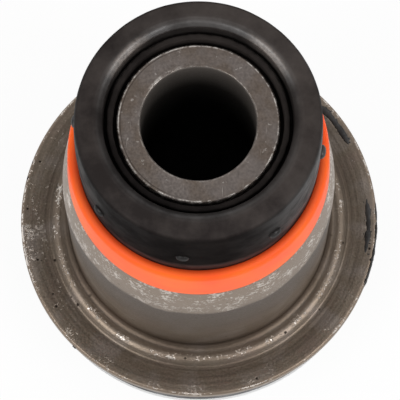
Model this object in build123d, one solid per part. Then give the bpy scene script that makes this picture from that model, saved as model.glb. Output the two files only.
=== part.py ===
from build123d import *
import os

# Engine mount: a flanged steel sleeve, a steel tube for the bolt, the rubber moulded between
# the two, and a plastic ring round the rubber's neck. Sizes in millimetres. +Z runs along the
# bolt, from the cushion that rests on the frame to the collar at the top. z = 0 is the
# cushion's resting face.

# Outer sleeve: one deep-drawn steel pressing with a flange at its foot.
SLEEVE_DIAMETER = 40.0  # across the straight wall, outside
SHEET = 2.0
LEAD_HEIGHT = 9.0  # conical lead-in above the straight wall
LEAD_REDUCTION = 1.05  # what the lead-in takes off the radius
FLANGE_DIAMETER = 55.2
FLANGE_CHAMFER = 0.3
FOOT_FILLET = 0.8  # hollow corner between the wall and the bead
FOOT_RISE = 0.7  # height of that corner above the flange
BEAD_OFFSET = 2.0  # from the wall out to the bead's crest
BEAD_HEIGHT = 1.0
GROOVE_OFFSET = 3.2  # from the wall out to the middle of the groove round the bead
GROOVE_WIDTH = 0.9
GROOVE_DEPTH = 0.3
UNDER_BEND = 2.8  # bend under the flange, where it turns up into the wall

# Inner tube: a thick-walled steel tube, faced and chamfered at both ends.
TUBE_LENGTH = 70.0
TUBE_WALL = 3.25
TUBE_OUTER_CHAMFER = 0.4
TUBE_BORE_CHAMFER = 0.3
TUBE_SETBACK = 1.5  # from the cushion's resting face up to the tube's lower end

# Rubber between the sleeve and the tube.
RUBBER_WALL = 6.75

# Rubber below the flange: the cushion.
CUSHION_THICKNESS = 10.0
CUSHION_INSET = 0.5  # from the flange's edge in to the cushion's upper edge
CUSHION_DRAFT = 0.8  # what the cushion loses on its radius down to its resting face
CUSHION_ROUND = 1.5
RELIEF_WIDTH = 2.5  # free ring round the tube at the cushion's lower face
RELIEF_DEPTH = 2.5  # how far the tube stands out of the rubber there

# Rubber above the sleeve: the neck and the collar.
NECK_STEP = 0.15  # how far the neck covers the sleeve's end
COLLAR_HEIGHT = 19.1  # from the ring's crest up to the collar's top
BULGE = 0.16  # how far the collar's widest place stands out from the neck
BULGE_DROP = 10.3  # from the collar's top down to its widest place
COLLAR_PROUD = 3.0  # collar's top above the tube's upper end
COLLAR_INSET = 0.1  # from the neck's radius in to the face's outer corner
COLLAR_FALL = 1.0  # slope of the face from its inner edge down to its outer corner
COLLAR_ROUND = 0.8
FACE_ROUND = 0.9  # rounding of the face's inner edge
WELL_WIDTH = 2.45  # from the tube out to the face's inner edge
WELL_SLOPE = 0.6  # lean of the well's outer wall
WELL_FLOOR = 0.6  # bottom of the well below the tube's end
LIP_GAP = 0.6  # slit between the tube and the lip round it
LIP_WIDTH = 0.75
LIP_PROUD = 0.8  # lip's crest above the tube's end
LIP_ROUND = 0.3
SLIT_DEPTH = 1.9  # bottom of the slit below the tube's end

# Nubs on the collar's widest place.
NUB_COUNT = 8
NUB_START = -7.5  # degrees from +X to the first nub
NUB_WIDTH = 2.4
NUB_HEIGHT = 2.2
NUB_PROUD = 0.75
NUB_ROUND = 0.5
NUB_ROOT = 1.0  # how deep a nub's body is moulded into the collar

# Rubber flash that crept over the flange's edge.
FLASH_START = -22.0
FLASH_SWEEP = 32.0
FLASH_PROUD = 0.25
FLASH_DROP = 0.1  # how far below the flange's upper face the flash ends

# Plastic ring round the neck, standing on the sleeve's end.
RING_HEIGHT = 8.4
RING_TAPER = 0.4  # what the ring loses on its outer radius up to its crest
RING_CLEARANCE = 0.05
RING_ROUND = 0.45
RING_CHAMFER = 0.35

# Sizes that follow, so that the pieces keep fitting one another: the tube stands inside the
# sleeve with the rubber's wall between them, and the straight wall of the sleeve fills the
# height that the tube's length leaves between the flange and the lead-in.
TUBE_DIAMETER = SLEEVE_DIAMETER - 2 * (SHEET + RUBBER_WALL)
BORE_DIAMETER = TUBE_DIAMETER - 2 * TUBE_WALL
OVERALL_HEIGHT = TUBE_SETBACK + TUBE_LENGTH + COLLAR_PROUD
FLANGE_LEVEL = CUSHION_THICKNESS + SHEET
WALL_HEIGHT = OVERALL_HEIGHT - COLLAR_HEIGHT - RING_HEIGHT - LEAD_HEIGHT - FLANGE_LEVEL

# Radii and heights that follow from the sizes above.
bore_r = BORE_DIAMETER / 2
tube_r = TUBE_DIAMETER / 2
wall_r = SLEEVE_DIAMETER / 2
wall_inner_r = wall_r - SHEET
end_r = wall_r - LEAD_REDUCTION
end_inner_r = wall_inner_r - LEAD_REDUCTION
flange_r = FLANGE_DIAMETER / 2
neck_r = end_inner_r + NECK_STEP
flange_bottom = CUSHION_THICKNESS
flange_top = FLANGE_LEVEL
wall_top = flange_top + WALL_HEIGHT
sleeve_end = wall_top + LEAD_HEIGHT
ring_top = sleeve_end + RING_HEIGHT
collar_top = OVERALL_HEIGHT
bulge_z = collar_top - BULGE_DROP
tube_bottom = TUBE_SETBACK
tube_top = tube_bottom + TUBE_LENGTH


def turned(edges, sweep=360):
    """Turn a closed outline of (radius, height) edges about the Z axis, starting at +X."""
    return revolve(Plane.XZ * make_face(edges), Axis.Z, sweep)


def run(*points):
    """Straight edges from point to point."""
    return [Line(a, b) for a, b in zip(points, points[1:])]


def round_corner(outline, point, radius):
    """Fillet the corner of a flat outline that lies at the given point."""
    nearest = outline.vertices().sort_by_distance((*point, 0))[0]
    return fillet(nearest, radius)


def inner_tube():
    """Straight tube with a chamfer at every edge."""
    c_out = TUBE_OUTER_CHAMFER
    c_in = TUBE_BORE_CHAMFER
    return turned(
        run(
            (bore_r + c_in, tube_bottom),
            (tube_r - c_out, tube_bottom),
            (tube_r, tube_bottom + c_out),
            (tube_r, tube_top - c_out),
            (tube_r - c_out, tube_top),
            (bore_r + c_in, tube_top),
            (bore_r, tube_top - c_in),
            (bore_r, tube_bottom + c_in),
            (bore_r + c_in, tube_bottom),
        )
    )


def outer_sleeve():
    """Flange, groove, bead, straight wall and lead-in cone, all one sheet thick."""
    bead_r = wall_r + BEAD_OFFSET
    groove_r = wall_r + GROOVE_OFFSET
    groove_inner = (groove_r - GROOVE_WIDTH / 2, flange_top)
    groove_outer = (groove_r + GROOVE_WIDTH / 2, flange_top)
    foot_z = flange_top + FOOT_RISE
    foot_out = (wall_r + FOOT_FILLET, foot_z)
    foot_up = (wall_r, foot_z + FOOT_FILLET)
    bend_out = (wall_inner_r + UNDER_BEND, flange_bottom)
    bend_up = (wall_inner_r, flange_bottom + UNDER_BEND)
    edges = run(
        bend_out,
        (flange_r - FLANGE_CHAMFER, flange_bottom),
        (flange_r, flange_bottom + FLANGE_CHAMFER),
        (flange_r, flange_top - FLANGE_CHAMFER),
        (flange_r - FLANGE_CHAMFER, flange_top),
        groove_outer,
    )
    edges.append(ThreePointArc(groove_outer, (groove_r, flange_top - GROOVE_DEPTH), groove_inner))
    edges.append(ThreePointArc(groove_inner, (bead_r, flange_top + BEAD_HEIGHT), foot_out))
    edges.append(RadiusArc(foot_out, foot_up, FOOT_FILLET))
    edges += run(
        foot_up,
        (wall_r, wall_top),
        (end_r, sleeve_end),
        (end_inner_r, sleeve_end),
        (wall_inner_r, wall_top),
        bend_up,
    )
    edges.append(RadiusArc(bend_up, bend_out, -UNDER_BEND))
    return turned(edges)


def stop_ring():
    """Tapered ring that stands on the sleeve's end and hugs the neck."""
    inner_r = neck_r + RING_CLEARANCE
    crest_r = end_r - RING_TAPER
    crest = (crest_r, ring_top)
    outline = make_face(
        run(
            (inner_r, sleeve_end),
            (end_r, sleeve_end),
            crest,
            (inner_r + RING_CHAMFER, ring_top),
            (inner_r, ring_top - RING_CHAMFER),
            (inner_r, sleeve_end),
        )
    )
    return revolve(Plane.XZ * round_corner(outline, crest, RING_ROUND), Axis.Z)


def rubber_outline():
    """Half section of the moulding, from the cushion up to the collar."""
    cushion_top_r = flange_r - CUSHION_INSET
    cushion_low_r = cushion_top_r - CUSHION_DRAFT
    well_r = tube_r + WELL_WIDTH
    well_floor = tube_top - WELL_FLOOR
    slit_floor = tube_top - SLIT_DEPTH
    lip_in = tube_r + LIP_GAP
    lip_out = lip_in + LIP_WIDTH
    lip_top = tube_top + LIP_PROUD
    face_inner = (well_r, collar_top)
    face_outer = (neck_r - COLLAR_INSET, collar_top - COLLAR_FALL)
    low_edge = (cushion_low_r, 0)
    bend_out = (wall_inner_r + UNDER_BEND, flange_bottom)
    bend_up = (wall_inner_r, flange_bottom + UNDER_BEND)
    edges = run(
        (tube_r, tube_bottom + RELIEF_DEPTH),
        (tube_r + RELIEF_WIDTH, 0),
        low_edge,
        (cushion_top_r, flange_bottom),
        bend_out,
    )
    edges.append(RadiusArc(bend_out, bend_up, UNDER_BEND))
    edges += run(
        bend_up,
        (wall_inner_r, wall_top),
        (end_inner_r, sleeve_end),
        (neck_r, sleeve_end),
        (neck_r, ring_top),
    )
    edges.append(ThreePointArc((neck_r, ring_top), (neck_r + BULGE, bulge_z), face_outer))
    edges += run(
        face_outer,
        face_inner,
        (well_r - WELL_SLOPE, well_floor),
        (lip_out, well_floor),
        (lip_out, lip_top),
        (lip_in, lip_top),
        (lip_in, slit_floor),
        (tube_r, slit_floor),
        (tube_r, tube_bottom + RELIEF_DEPTH),
    )
    outline = make_face(edges)
    outline = round_corner(outline, low_edge, CUSHION_ROUND)
    outline = round_corner(outline, face_outer, COLLAR_ROUND)
    outline = round_corner(outline, face_inner, FACE_ROUND)
    outline = round_corner(outline, (lip_out, lip_top), LIP_ROUND)
    return round_corner(outline, (lip_in, lip_top), LIP_ROUND)


def nub():
    """One moulded nub at +X, rooted in the collar and rounded on its outer side."""
    depth = NUB_ROOT + NUB_PROUD
    block = Box(depth, NUB_WIDTH, NUB_HEIGHT)
    block = fillet(block.faces().sort_by(Axis.X)[-1].edges(), NUB_ROUND)
    outer_r = neck_r + BULGE + NUB_PROUD
    return Pos(outer_r - depth / 2, 0, bulge_z) * block


def edge_flash():
    """Thin skin of rubber round a stretch of the flange's edge."""
    root_r = flange_r - CUSHION_INSET - CUSHION_DRAFT
    skin_r = flange_r + FLASH_PROUD
    skin_low = flange_bottom - FLASH_PROUD
    skin_high = flange_top - FLASH_DROP
    skin = turned(
        run(
            (root_r, skin_low),
            (skin_r, skin_low),
            (skin_r, skin_high),
            (flange_r, skin_high),
            (flange_r, flange_bottom + FLANGE_CHAMFER),
            (flange_r - FLANGE_CHAMFER, flange_bottom),
            (root_r, flange_bottom),
            (root_r, skin_low),
        ),
        FLASH_SWEEP,
    )
    return Rot(0, 0, FLASH_START) * skin


def rubber_body():
    """The whole moulding: cushion, filling, neck, collar, nubs and flash."""
    body = revolve(Plane.XZ * rubber_outline(), Axis.Z)
    for index in range(NUB_COUNT):
        angle = NUB_START + index * 360 / NUB_COUNT
        body += Rot(0, 0, angle) * nub()
    return body + edge_flash()


PIECES = {
    "outer_sleeve": outer_sleeve,
    "inner_tube": inner_tube,
    "rubber_body": rubber_body,
    "stop_ring": stop_ring,
}

os.makedirs("parts", exist_ok=True)
for name, make in PIECES.items():
    solid = make()
    solid.label = name
    export_step(solid, f"parts/{name}.step")
    print(name, "solids", len(solid.solids()), "volume", round(solid.volume, 1))
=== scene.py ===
"""Studio scene of a used engine mount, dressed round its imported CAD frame.

The mount stands on its rubber cushion with the bolt tube upright. Sizes are in millimetres and
are turned to metres where a mesh is made. +Z is the tube's axis and the viewer stands at -Y.
"""

import logging
import math
from dataclasses import dataclass, field
from enum import Enum
from functools import partial
from typing import Any, Optional, Sequence

import bpy
import numpy as np
from mathutils import Matrix, Vector, noise


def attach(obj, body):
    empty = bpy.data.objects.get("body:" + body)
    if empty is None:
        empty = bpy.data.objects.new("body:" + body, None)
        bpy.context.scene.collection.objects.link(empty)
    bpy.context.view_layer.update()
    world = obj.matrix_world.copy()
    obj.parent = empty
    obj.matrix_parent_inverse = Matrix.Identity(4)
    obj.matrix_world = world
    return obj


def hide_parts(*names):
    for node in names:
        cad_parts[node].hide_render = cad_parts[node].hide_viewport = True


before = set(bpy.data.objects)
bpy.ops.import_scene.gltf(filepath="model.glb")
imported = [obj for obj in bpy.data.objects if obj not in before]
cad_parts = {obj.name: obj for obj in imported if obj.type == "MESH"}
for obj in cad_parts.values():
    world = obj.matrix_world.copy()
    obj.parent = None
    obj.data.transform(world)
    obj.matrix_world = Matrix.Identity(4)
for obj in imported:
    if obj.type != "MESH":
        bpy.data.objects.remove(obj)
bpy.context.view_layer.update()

MM = 0.001
SEED_SHIFT = 17.3
BODY = "root"
log = logging.getLogger("engine_mount")

# Blender's names for the nodes that are used most.
MATH = "ShaderNodeMath"
VECTOR = "ShaderNodeVectorMath"
COMBINE = "ShaderNodeCombineXYZ"
RANGE = "ShaderNodeMapRange"
NOISE = "ShaderNodeTexNoise"
RAMP = "ShaderNodeValToRGB"
MIX = "ShaderNodeMix"
MOVE = "GeometryNodeSetPosition"

Point = tuple[float, float]
Changes = tuple[np.ndarray, np.ndarray]
# Pairs of a coordinate in mm and a level from 0 to 1.
Stops = tuple[Point, ...]


class Slot(Enum):
    """Material slots of the record."""

    DRAWN_STEEL = "drawn_steel"
    TUBE_STEEL = "tube_steel"
    RUBBER = "rubber"
    ORANGE_PLASTIC = "orange_plastic"


class Node(Enum):
    """CAD nodes that a visual piece stands for."""

    SLEEVE = "outer_sleeve"
    TUBE = "inner_tube"
    RUBBER = "rubber_body"
    RING = "stop_ring"


def linear(hex_colour: str) -> tuple[float, float, float, float]:
    """Turn an sRGB hex colour to linear light.

    Args:
        hex_colour: colour such as "#9a8b7f".

    Returns:
        Red, green, blue and alpha in linear light.
    """
    parts = [int(hex_colour[i : i + 2], 16) / 255 for i in (1, 3, 5)]
    light = [p / 12.92 if p <= 0.04045 else ((p + 0.055) / 1.055) ** 2.4 for p in parts]
    return (light[0], light[1], light[2], 1.0)


def per_mm(size: float) -> float:
    """Texture scale for features of a real size in millimetres, on coordinates in metres."""
    return 1.0 / (size * MM)


def pick(sockets: Any, key: Any) -> bpy.types.NodeSocket:
    """Find a live socket by its name, or any socket by its index.

    Args:
        sockets: a node's inputs or outputs.
        key: name or index.

    Returns:
        The socket.
    """
    if isinstance(key, int):
        return sockets[key]
    named = [s for s in sockets if s.name == key]
    return next((s for s in named if s.enabled), named[0])


def add(
    tree: bpy.types.NodeTree, kind: str, feeds: Optional[dict] = None, **settings: Any
) -> bpy.types.Node:
    """Add one node with its settings and what feeds its sockets.

    Args:
        tree: shader or geometry tree.
        kind: Blender's name for the node type.
        feeds: value, socket or node for each input, by name or index.
        **settings: node properties; stops gives a colour ramp's places and values.

    Returns:
        The new node.
    """
    node = tree.nodes.new(kind)
    stops = settings.pop("stops", ())
    for name, value in settings.items():
        setattr(node, name, value)
    if stops:
        marks = node.color_ramp.elements
        marks.remove(marks[1])
        marks[0].position = stops[0][0]
        for place, _ in stops[1:]:
            marks.new(place)
        for mark, (_, value) in zip(marks, stops):
            mark.color = linear(value) if isinstance(value, str) else (value, value, value, 1.0)
    for key, value in (feeds or {}).items():
        socket = pick(node.inputs, key)
        if isinstance(value, bpy.types.Node):
            value = next(s for s in value.outputs if s.enabled)
        if isinstance(value, bpy.types.NodeSocket):
            tree.links.new(value, socket)
        else:
            socket.default_value = value
    return node


def empty_tree(owner: Any) -> bpy.types.NodeTree:
    """Give a material or a world an empty node tree.

    Args:
        owner: the material or world.

    Returns:
        Its tree.
    """
    owner.use_nodes = True
    owner.node_tree.nodes.clear()
    return owner.node_tree


def put_in_scene(name: str, data: Any) -> bpy.types.Object:
    """Make an object at the origin for a mesh, a lamp or a camera.

    Args:
        name: name of the object and its data.
        data: the mesh, lamp or camera.

    Returns:
        The object.
    """
    data.name = name
    thing = bpy.data.objects.new(name, data)
    bpy.context.scene.collection.objects.link(thing)
    return thing


@dataclass
class TurnedSpace:
    """Cylindrical coordinates of a turned piece, made from its Object coordinates."""

    tree: bpy.types.NodeTree
    point: Any = None
    radius: Any = None
    height: Any = None
    around: Any = None

    def __post_init__(self) -> None:
        """Add the nodes that give the point, radius and height in mm, and outward direction."""
        put = partial(add, self.tree)
        self.point = put("ShaderNodeTexCoord").outputs["Object"]
        upright = put("ShaderNodeSeparateXYZ", {0: self.point}).outputs["Z"]
        flat = put(VECTOR, {0: self.point, 1: (1, 1, 0)}, operation="MULTIPLY")
        length = put(VECTOR, {0: flat}, operation="LENGTH").outputs["Value"]
        self.radius = put(MATH, {0: length, 1: 1 / MM}, operation="MULTIPLY")
        self.height = put(MATH, {0: upright, 1: 1 / MM}, operation="MULTIPLY")
        self.around = put(VECTOR, {0: flat}, operation="NORMALIZE")

    def lines(self, spacing: float, run: float, along: Any) -> bpy.types.Node:
        """Noise drawn out into lines that run round the axis.

        Args:
            spacing: distance between lines in mm, measured along the given coordinate.
            run: how many times the pattern changes over a radian.
            along: coordinate in mm that crosses the lines.

        Returns:
            A noise node whose value changes from line to line.
        """
        put = partial(add, self.tree)
        step = put(MATH, {0: along, 1: 1 / spacing}, operation="MULTIPLY")
        cross = put(COMBINE, {"Z": step})
        place = put(VECTOR, {0: self.around, 1: (run, run, 0), 2: cross}, operation="MULTIPLY_ADD")
        return put(NOISE, {"Vector": place, "Scale": 1.0, "Detail": 3.0})

    def zone(self, value: Any, stops: Stops) -> bpy.types.Node:
        """Level that follows a coordinate.

        Args:
            value: coordinate to read.
            stops: coordinates and levels, which start and end at the range's limits.

        Returns:
            A ramp node.
        """
        low, high = stops[0][0], stops[-1][0]
        share = add(self.tree, RANGE, {"Value": value, "From Min": low, "From Max": high})
        places = [((place - low) / (high - low), level) for place, level in stops]
        return add(self.tree, RAMP, {"Fac": share}, stops=places)


@dataclass(frozen=True)
class Finish:
    """A surface finish that makes one procedural material."""

    label: str

    def make(self) -> bpy.types.Material:
        """Build the material.

        Returns:
            The material, with a Principled shader as its surface.
        """
        material = bpy.data.materials.new(self.label)
        tree = empty_tree(material)
        shader = add(tree, "ShaderNodeBsdfPrincipled", self.paint(TurnedSpace(tree)))
        add(tree, "ShaderNodeOutputMaterial", {"Surface": shader.outputs["BSDF"]})
        return material

    def paint(self, at: TurnedSpace) -> dict:
        """Say what feeds the shader's sockets; each finish has its own way."""
        raise NotImplementedError


@dataclass(frozen=True)
class DrawnSteel(Finish):
    """Mild steel sheet, deep-drawn and left bare.

    Drawing leaves fine lines round the wall, a thin brown-grey oxide dulls it, and handling
    has rubbed the bead, the lead-in and the flange's ridge bright. Its zones follow the path,
    which is height minus radius: -15.6 at the flange's edge, -8.6 on the bead, -7 at the
    wall's foot, 18 where the lead-in starts and 28 at the sheet's end.
    """

    label: str = "deep_drawn_mild_steel"
    oxide: str = "#776a60"
    warm_oxide: str = "#766b5f"
    pale_oxide: str = "#857b73"
    burnished: str = "#8f8072"
    bare: str = "#e8e0d8"
    # Darker tone laid in the wall's foot, the groove and on the wall below the ring.
    darker_tone: str = "#44382f"
    pit: str = "#2c2622"
    line_spacing: float = 0.45
    grain: float = 0.3
    blotch: float = 6.0
    worn_patch: float = 3.2
    worn_speck: float = 0.5
    pit_spacing: float = 1.9
    # The edge of the worn band wanders up and down by this much, high on the wall.
    wander: float = 2.5
    wander_rise: Stops = ((0.0, 0.0), (12.0, 1.0))
    burnish: Stops = (
        (-16.0, 0.8), (-15.3, 0.9), (-15.05, 0.1), (-13.5, 0.0), (-10.4, 0.1), (-9.6, 0.45),
        (-8.6, 0.45), (-8.0, 0.15), (-4.0, 0.2), (17.2, 0.2), (18.6, 0.75), (30.0, 0.95),
    )
    # The foot and the groove are darker, and so is the wall below the ring.
    hollows: Stops = (
        (-12.0, 0.0), (-11.8, 0.5), (-11.4, 0.45), (-11.0, 0.25), (-10.6, 0.0), (-8.3, 0.0),
        (-8.0, 0.3), (-7.6, 0.65), (-6.6, 0.65), (-5.4, 0.35), (-3.0, 0.05), (2.0, 0.05),
        (8.0, 0.5), (17.2, 0.82), (18.3, 0.0), (19.0, 0.0),
    )
    rubbed: Stops = (
        (-16.0, 0.2), (-15.45, 0.8), (-15.2, 0.2), (-14.2, 0.14), (-13.95, 0.28), (-13.8, 0.1),
        (-11.6, 0.0), (-10.4, 0.1), (-9.6, 0.5), (-8.9, 0.5), (-8.3, 0.1), (-7.6, 0.0),
        (17.4, 0.05), (18.2, 0.5), (26.0, 0.6), (30.0, 0.55),
    )
    # The side at the viewer's left was dragged along something hard.
    dragged_side: tuple[float, float, float] = (-1, -0.1, 0)
    dragged: Stops = ((-16.0, 1.0), (-11.9, 1.0), (-11.5, 0.2), (-9.0, 0.8), (-8.0, 0.0))
    # How strongly the pits show, by radius.
    pitted: Stops = ((17.0, 0.2), (20.5, 0.35), (22.5, 0.9), (26.8, 1.0), (27.6, 1.0))

    def paint(self, at: TurnedSpace) -> dict:
        """Colour, roughness and bump of the drawn steel.

        Args:
            at: coordinates of the sleeve.

        Returns:
            What feeds the shader's sockets.
        """
        put = partial(add, at.tree)
        path = put(MATH, {0: at.height, 1: at.radius}, operation="SUBTRACT")
        blotches = put(NOISE, {"Vector": at.point, "Scale": per_mm(self.blotch), "Detail": 4.0})
        grain = put(NOISE, {"Vector": at.point, "Scale": per_mm(self.grain), "Detail": 3.0})
        up_down = {0: blotches, 1: 2 * self.wander, 2: -self.wander}
        wander = put(MATH, up_down, operation="MULTIPLY_ADD")
        high = at.zone(path, self.wander_rise)
        wander = put(MATH, {0: wander, 1: high}, operation="MULTIPLY")
        path = put(MATH, {0: path, 1: wander}, operation="ADD")
        lines = at.lines(self.line_spacing, 2.0, path)
        oxides = [(0.35, self.oxide), (0.5, self.warm_oxide), (0.65, self.pale_oxide)]
        colour = put(RAMP, {"Fac": blotches}, stops=oxides)
        for share, pattern in ((0.55, lines), (0.35, grain)):
            laid = {"Factor": share, "A": colour, "B": pattern}
            colour = put(MIX, laid, data_type="RGBA", blend_type="OVERLAY")
        burnish, hollows = at.zone(path, self.burnish), at.zone(path, self.hollows)
        rubbed, pits = self.bare_metal(at, path), self.pits(at)
        coats = ((burnish, self.burnished), (rubbed, self.bare), (hollows, self.darker_tone), (pits, self.pit))
        for share, coat in coats:
            colour = put(MIX, {"Factor": share, "A": colour, "B": linear(coat)}, data_type="RGBA")
        dull = {"Value": grain, "From Min": 0.3, "From Max": 0.7, "To Min": 0.38, "To Max": 0.5}
        rough = put(RANGE, dull)
        for share, change in ((rubbed, -0.24), (pits, 0.3)):
            rough = put(MATH, {0: share, 1: change, 2: rough}, operation="MULTIPLY_ADD")
        relief = grain
        for share, rise in ((lines, 0.5), (pits, -1.2), (rubbed, 4.5)):
            relief = put(MATH, {0: share, 1: rise, 2: relief}, operation="MULTIPLY_ADD")
        bump = put("ShaderNodeBump", {"Height": relief, "Strength": 0.5, "Distance": 0.06 * MM})
        return {"Base Color": colour, "Metallic": 1.0, "Roughness": rough, "Normal": bump}

    def bare_metal(self, at: TurnedSpace, path: Any) -> bpy.types.Node:
        """Where the steel is rubbed bright.

        Args:
            at: coordinates of the sleeve.
            path: height minus radius in mm.

        Returns:
            A node that gives 0 for oxide and 1 for bare metal.
        """
        put = partial(add, at.tree)
        patches = {"Vector": at.point, "Scale": per_mm(self.worn_patch), "Detail": 3.0}
        specks = {"Vector": at.point, "Scale": per_mm(self.worn_speck), "Detail": 2.0}
        coarse, fine = put(NOISE, patches), put(NOISE, {**specks, "Roughness": 0.7})
        both = put(MATH, {0: coarse, 1: fine}, operation="ADD")
        left = put(VECTOR, {0: at.around, 1: self.dragged_side}, operation="DOT_PRODUCT")
        reach = {"Value": left.outputs["Value"], "From Min": 0.6, "From Max": 1.0, "To Max": 0.24}
        dragged = put(RANGE, reach)
        rim = at.zone(path, self.dragged)
        dragged = put(MATH, {0: dragged, 1: rim}, operation="MULTIPLY")
        zones = put(MATH, {0: at.zone(path, self.rubbed), 1: dragged}, operation="ADD")
        # The more a zone is rubbed, the lower the noise may be that still shows metal.
        needed = put(MATH, {0: zones, 1: -0.26, 2: 1.26}, operation="MULTIPLY_ADD")
        above = put(MATH, {0: both, 1: needed}, operation="SUBTRACT")
        torn = put(RANGE, {"Value": above, "From Min": -0.05, "From Max": 0.07})
        return put(MATH, {0: torn, 1: zones}, operation="MULTIPLY")

    def pits(self, at: TurnedSpace) -> bpy.types.Node:
        """Small dark pits, strongest on the flange.

        Args:
            at: coordinates of the sleeve.

        Returns:
            A node that gives 1 in a pit and 0 elsewhere.
        """
        put = partial(add, at.tree)
        cells = put("ShaderNodeTexVoronoi", {"Vector": at.point, "Scale": per_mm(self.pit_spacing)})
        dots = put(RANGE, {"Value": cells.outputs["Distance"], "From Min": 0.15, "From Max": 0.08})
        chosen = put(MATH, {0: cells.outputs["Color"], 1: 0.52}, operation="GREATER_THAN")
        kept = put(MATH, {0: dots, 1: chosen}, operation="MULTIPLY")
        where = at.zone(at.radius, self.pitted)
        return put(MATH, {0: kept, 1: where}, operation="MULTIPLY")


@dataclass(frozen=True)
class FacedTubeSteel(Finish):
    """Cold-drawn steel tube, sawn and faced on a lathe.

    The face is a dull satin with brown handling stains and fine scratches, the bore is dark
    with oxide and painted shade that deepens down it, and the outer edge is chipped bright.
    """

    label: str = "faced_steel_tube"
    face: str = "#867d78"
    stain: str = "#7b6f66"
    bare: str = "#f0e9e2"
    # Painted shade of the fine groove just inside the outer edge.
    groove_shade: str = "#3a332e"
    # Colour deep in the bore: dark oxide, darkened further by painted shade.
    shaded_deep_bore: str = "#141210"
    bore: str = "#5e5853"
    stain_size: float = 3.5
    grain: float = 0.35
    chip: float = 0.9
    scratch_width: float = 0.22
    scratch_length: float = 5.0
    scratch_angles: tuple[float, ...] = (25.0, 80.0, 145.0)
    bore_r: float = 8.12
    # Radii at which the edges are chipped bright.
    edges: Stops = ((8.0, 0.3), (8.2, 0.3), (8.35, 0.0), (10.84, 0.0), (10.96, 0.9), (11.3, 0.9))
    # A tool nicked the bore's mouth at the far left.
    nick_side: tuple[float, float, float] = (-0.57, 0.82, 0)
    nick: Stops = ((8.0, 0.9), (8.3, 0.9), (8.6, 0.0), (9.0, 0.0))
    # The facing tool cut a fine groove just inside the edge; its dark line is painted shade, strongest on
    # the viewer's left.
    groove_shade_side: tuple[float, float, float] = (-1, 0, 0)
    groove_shade_ring: Stops = ((10.3, 0.0), (10.62, 0.0), (10.72, 1.0), (10.82, 0.0), (11.0, 0.0))
    # Painted light and shade by height: the bore's wall is lighter near its top and darker deeper down.
    painted_bore_light: Stops = ((50.0, 0.0), (62.0, 0.05), (69.0, 0.6), (71.5, 1.0))

    def paint(self, at: TurnedSpace) -> dict:
        """Colour, roughness and bump of the tube.

        Args:
            at: coordinates of the tube.

        Returns:
            What feeds the shader's sockets.
        """
        put = partial(add, at.tree)
        stains = put(NOISE, {"Vector": at.point, "Scale": per_mm(self.stain_size), "Detail": 4.0})
        grain = put(NOISE, {"Vector": at.point, "Scale": per_mm(self.grain), "Detail": 3.0})
        chipping = {"Vector": at.point, "Scale": per_mm(self.chip), "Detail": 4.0}
        chips = put(NOISE, {**chipping, "Roughness": 0.6})
        colour = put(RAMP, {"Fac": stains}, stops=[(0.38, self.stain), (0.6, self.face)])
        grained = {"Factor": 0.3, "A": colour, "B": grain}
        colour = put(MIX, grained, data_type="RGBA", blend_type="OVERLAY")
        far_left = put(VECTOR, {0: at.around, 1: self.nick_side}, operation="DOT_PRODUCT")
        nick = put(RANGE, {"Value": far_left.outputs["Value"], "From Min": 0.93, "From Max": 0.98})
        mouth = at.zone(at.radius, self.nick)
        nick = put(MATH, {0: nick, 1: mouth}, operation="MULTIPLY")
        edge = put(MATH, {0: at.zone(at.radius, self.edges), 1: nick}, operation="MAXIMUM")
        torn = put(RANGE, {"Value": chips, "From Min": 0.45, "From Max": 0.62})
        chipped = put(MATH, {0: edge, 1: torn}, operation="MULTIPLY")
        flecks = put(RANGE, {"Value": chips, "From Min": 0.65, "From Max": 0.71, "To Max": 0.4})
        marks = put(MATH, {0: self.scratches(at), 1: flecks}, operation="MAXIMUM")
        worn = put(MATH, {0: chipped, 1: marks}, operation="MAXIMUM")
        # The groove's painted shade is strongest on the viewer's left.
        left = put(VECTOR, {0: at.around, 1: self.groove_shade_side}, operation="DOT_PRODUCT")
        fading = {"Value": left.outputs["Value"], "From Min": 0.1, "From Max": 0.5, "To Max": 0.75}
        faint = put(RANGE, fading)
        groove_shade = put(MATH, {0: at.zone(at.radius, self.groove_shade_ring), 1: faint}, operation="MULTIPLY")
        inside = put(MATH, {0: at.radius, 1: self.bore_r}, operation="LESS_THAN")
        # Painted shade darkens the bore's wall with depth.
        lit = at.zone(at.height, self.painted_bore_light)
        wall = {"Factor": lit, "A": linear(self.shaded_deep_bore), "B": linear(self.bore)}
        bore = put(MIX, wall, data_type="RGBA")
        for share, coat in ((worn, linear(self.bare)), (groove_shade, linear(self.groove_shade)), (inside, bore)):
            colour = put(MIX, {"Factor": share, "A": colour, "B": coat}, data_type="RGBA")
        metal = put(MATH, {0: 1.0, 1: inside}, operation="SUBTRACT")
        satin = {"Value": grain, "From Min": 0.3, "From Max": 0.7, "To Min": 0.38, "To Max": 0.48}
        relief = put(MATH, {0: marks, 1: -0.8, 2: grain}, operation="MULTIPLY_ADD")
        bump = put("ShaderNodeBump", {"Height": relief, "Strength": 0.4, "Distance": 0.04 * MM})
        rough = put(RANGE, satin)
        return {"Base Color": colour, "Metallic": metal, "Roughness": rough, "Normal": bump}

    def scratches(self, at: TurnedSpace) -> bpy.types.Node:
        """Fine straight scratches in three directions across the face.

        Args:
            at: coordinates of the tube.

        Returns:
            A node that gives more than 0 in a scratch and 0 elsewhere.
        """
        put = partial(add, at.tree)
        stretch = (per_mm(self.scratch_width), per_mm(self.scratch_length), 0)
        found: Any = 0.0
        for angle in self.scratch_angles:
            lean = {"Vector": at.point, "Rotation": (0, 0, math.radians(angle)), "Scale": stretch}
            turned = put("ShaderNodeMapping", lean)
            streaks = put(NOISE, {"Vector": turned, "Scale": 1.0, "Detail": 1.0})
            cut = put(RANGE, {"Value": streaks, "From Min": 0.75, "From Max": 0.82, "To Max": 0.5})
            found = put(MATH, {0: found, 1: cut}, operation="MAXIMUM")
        return found


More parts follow.
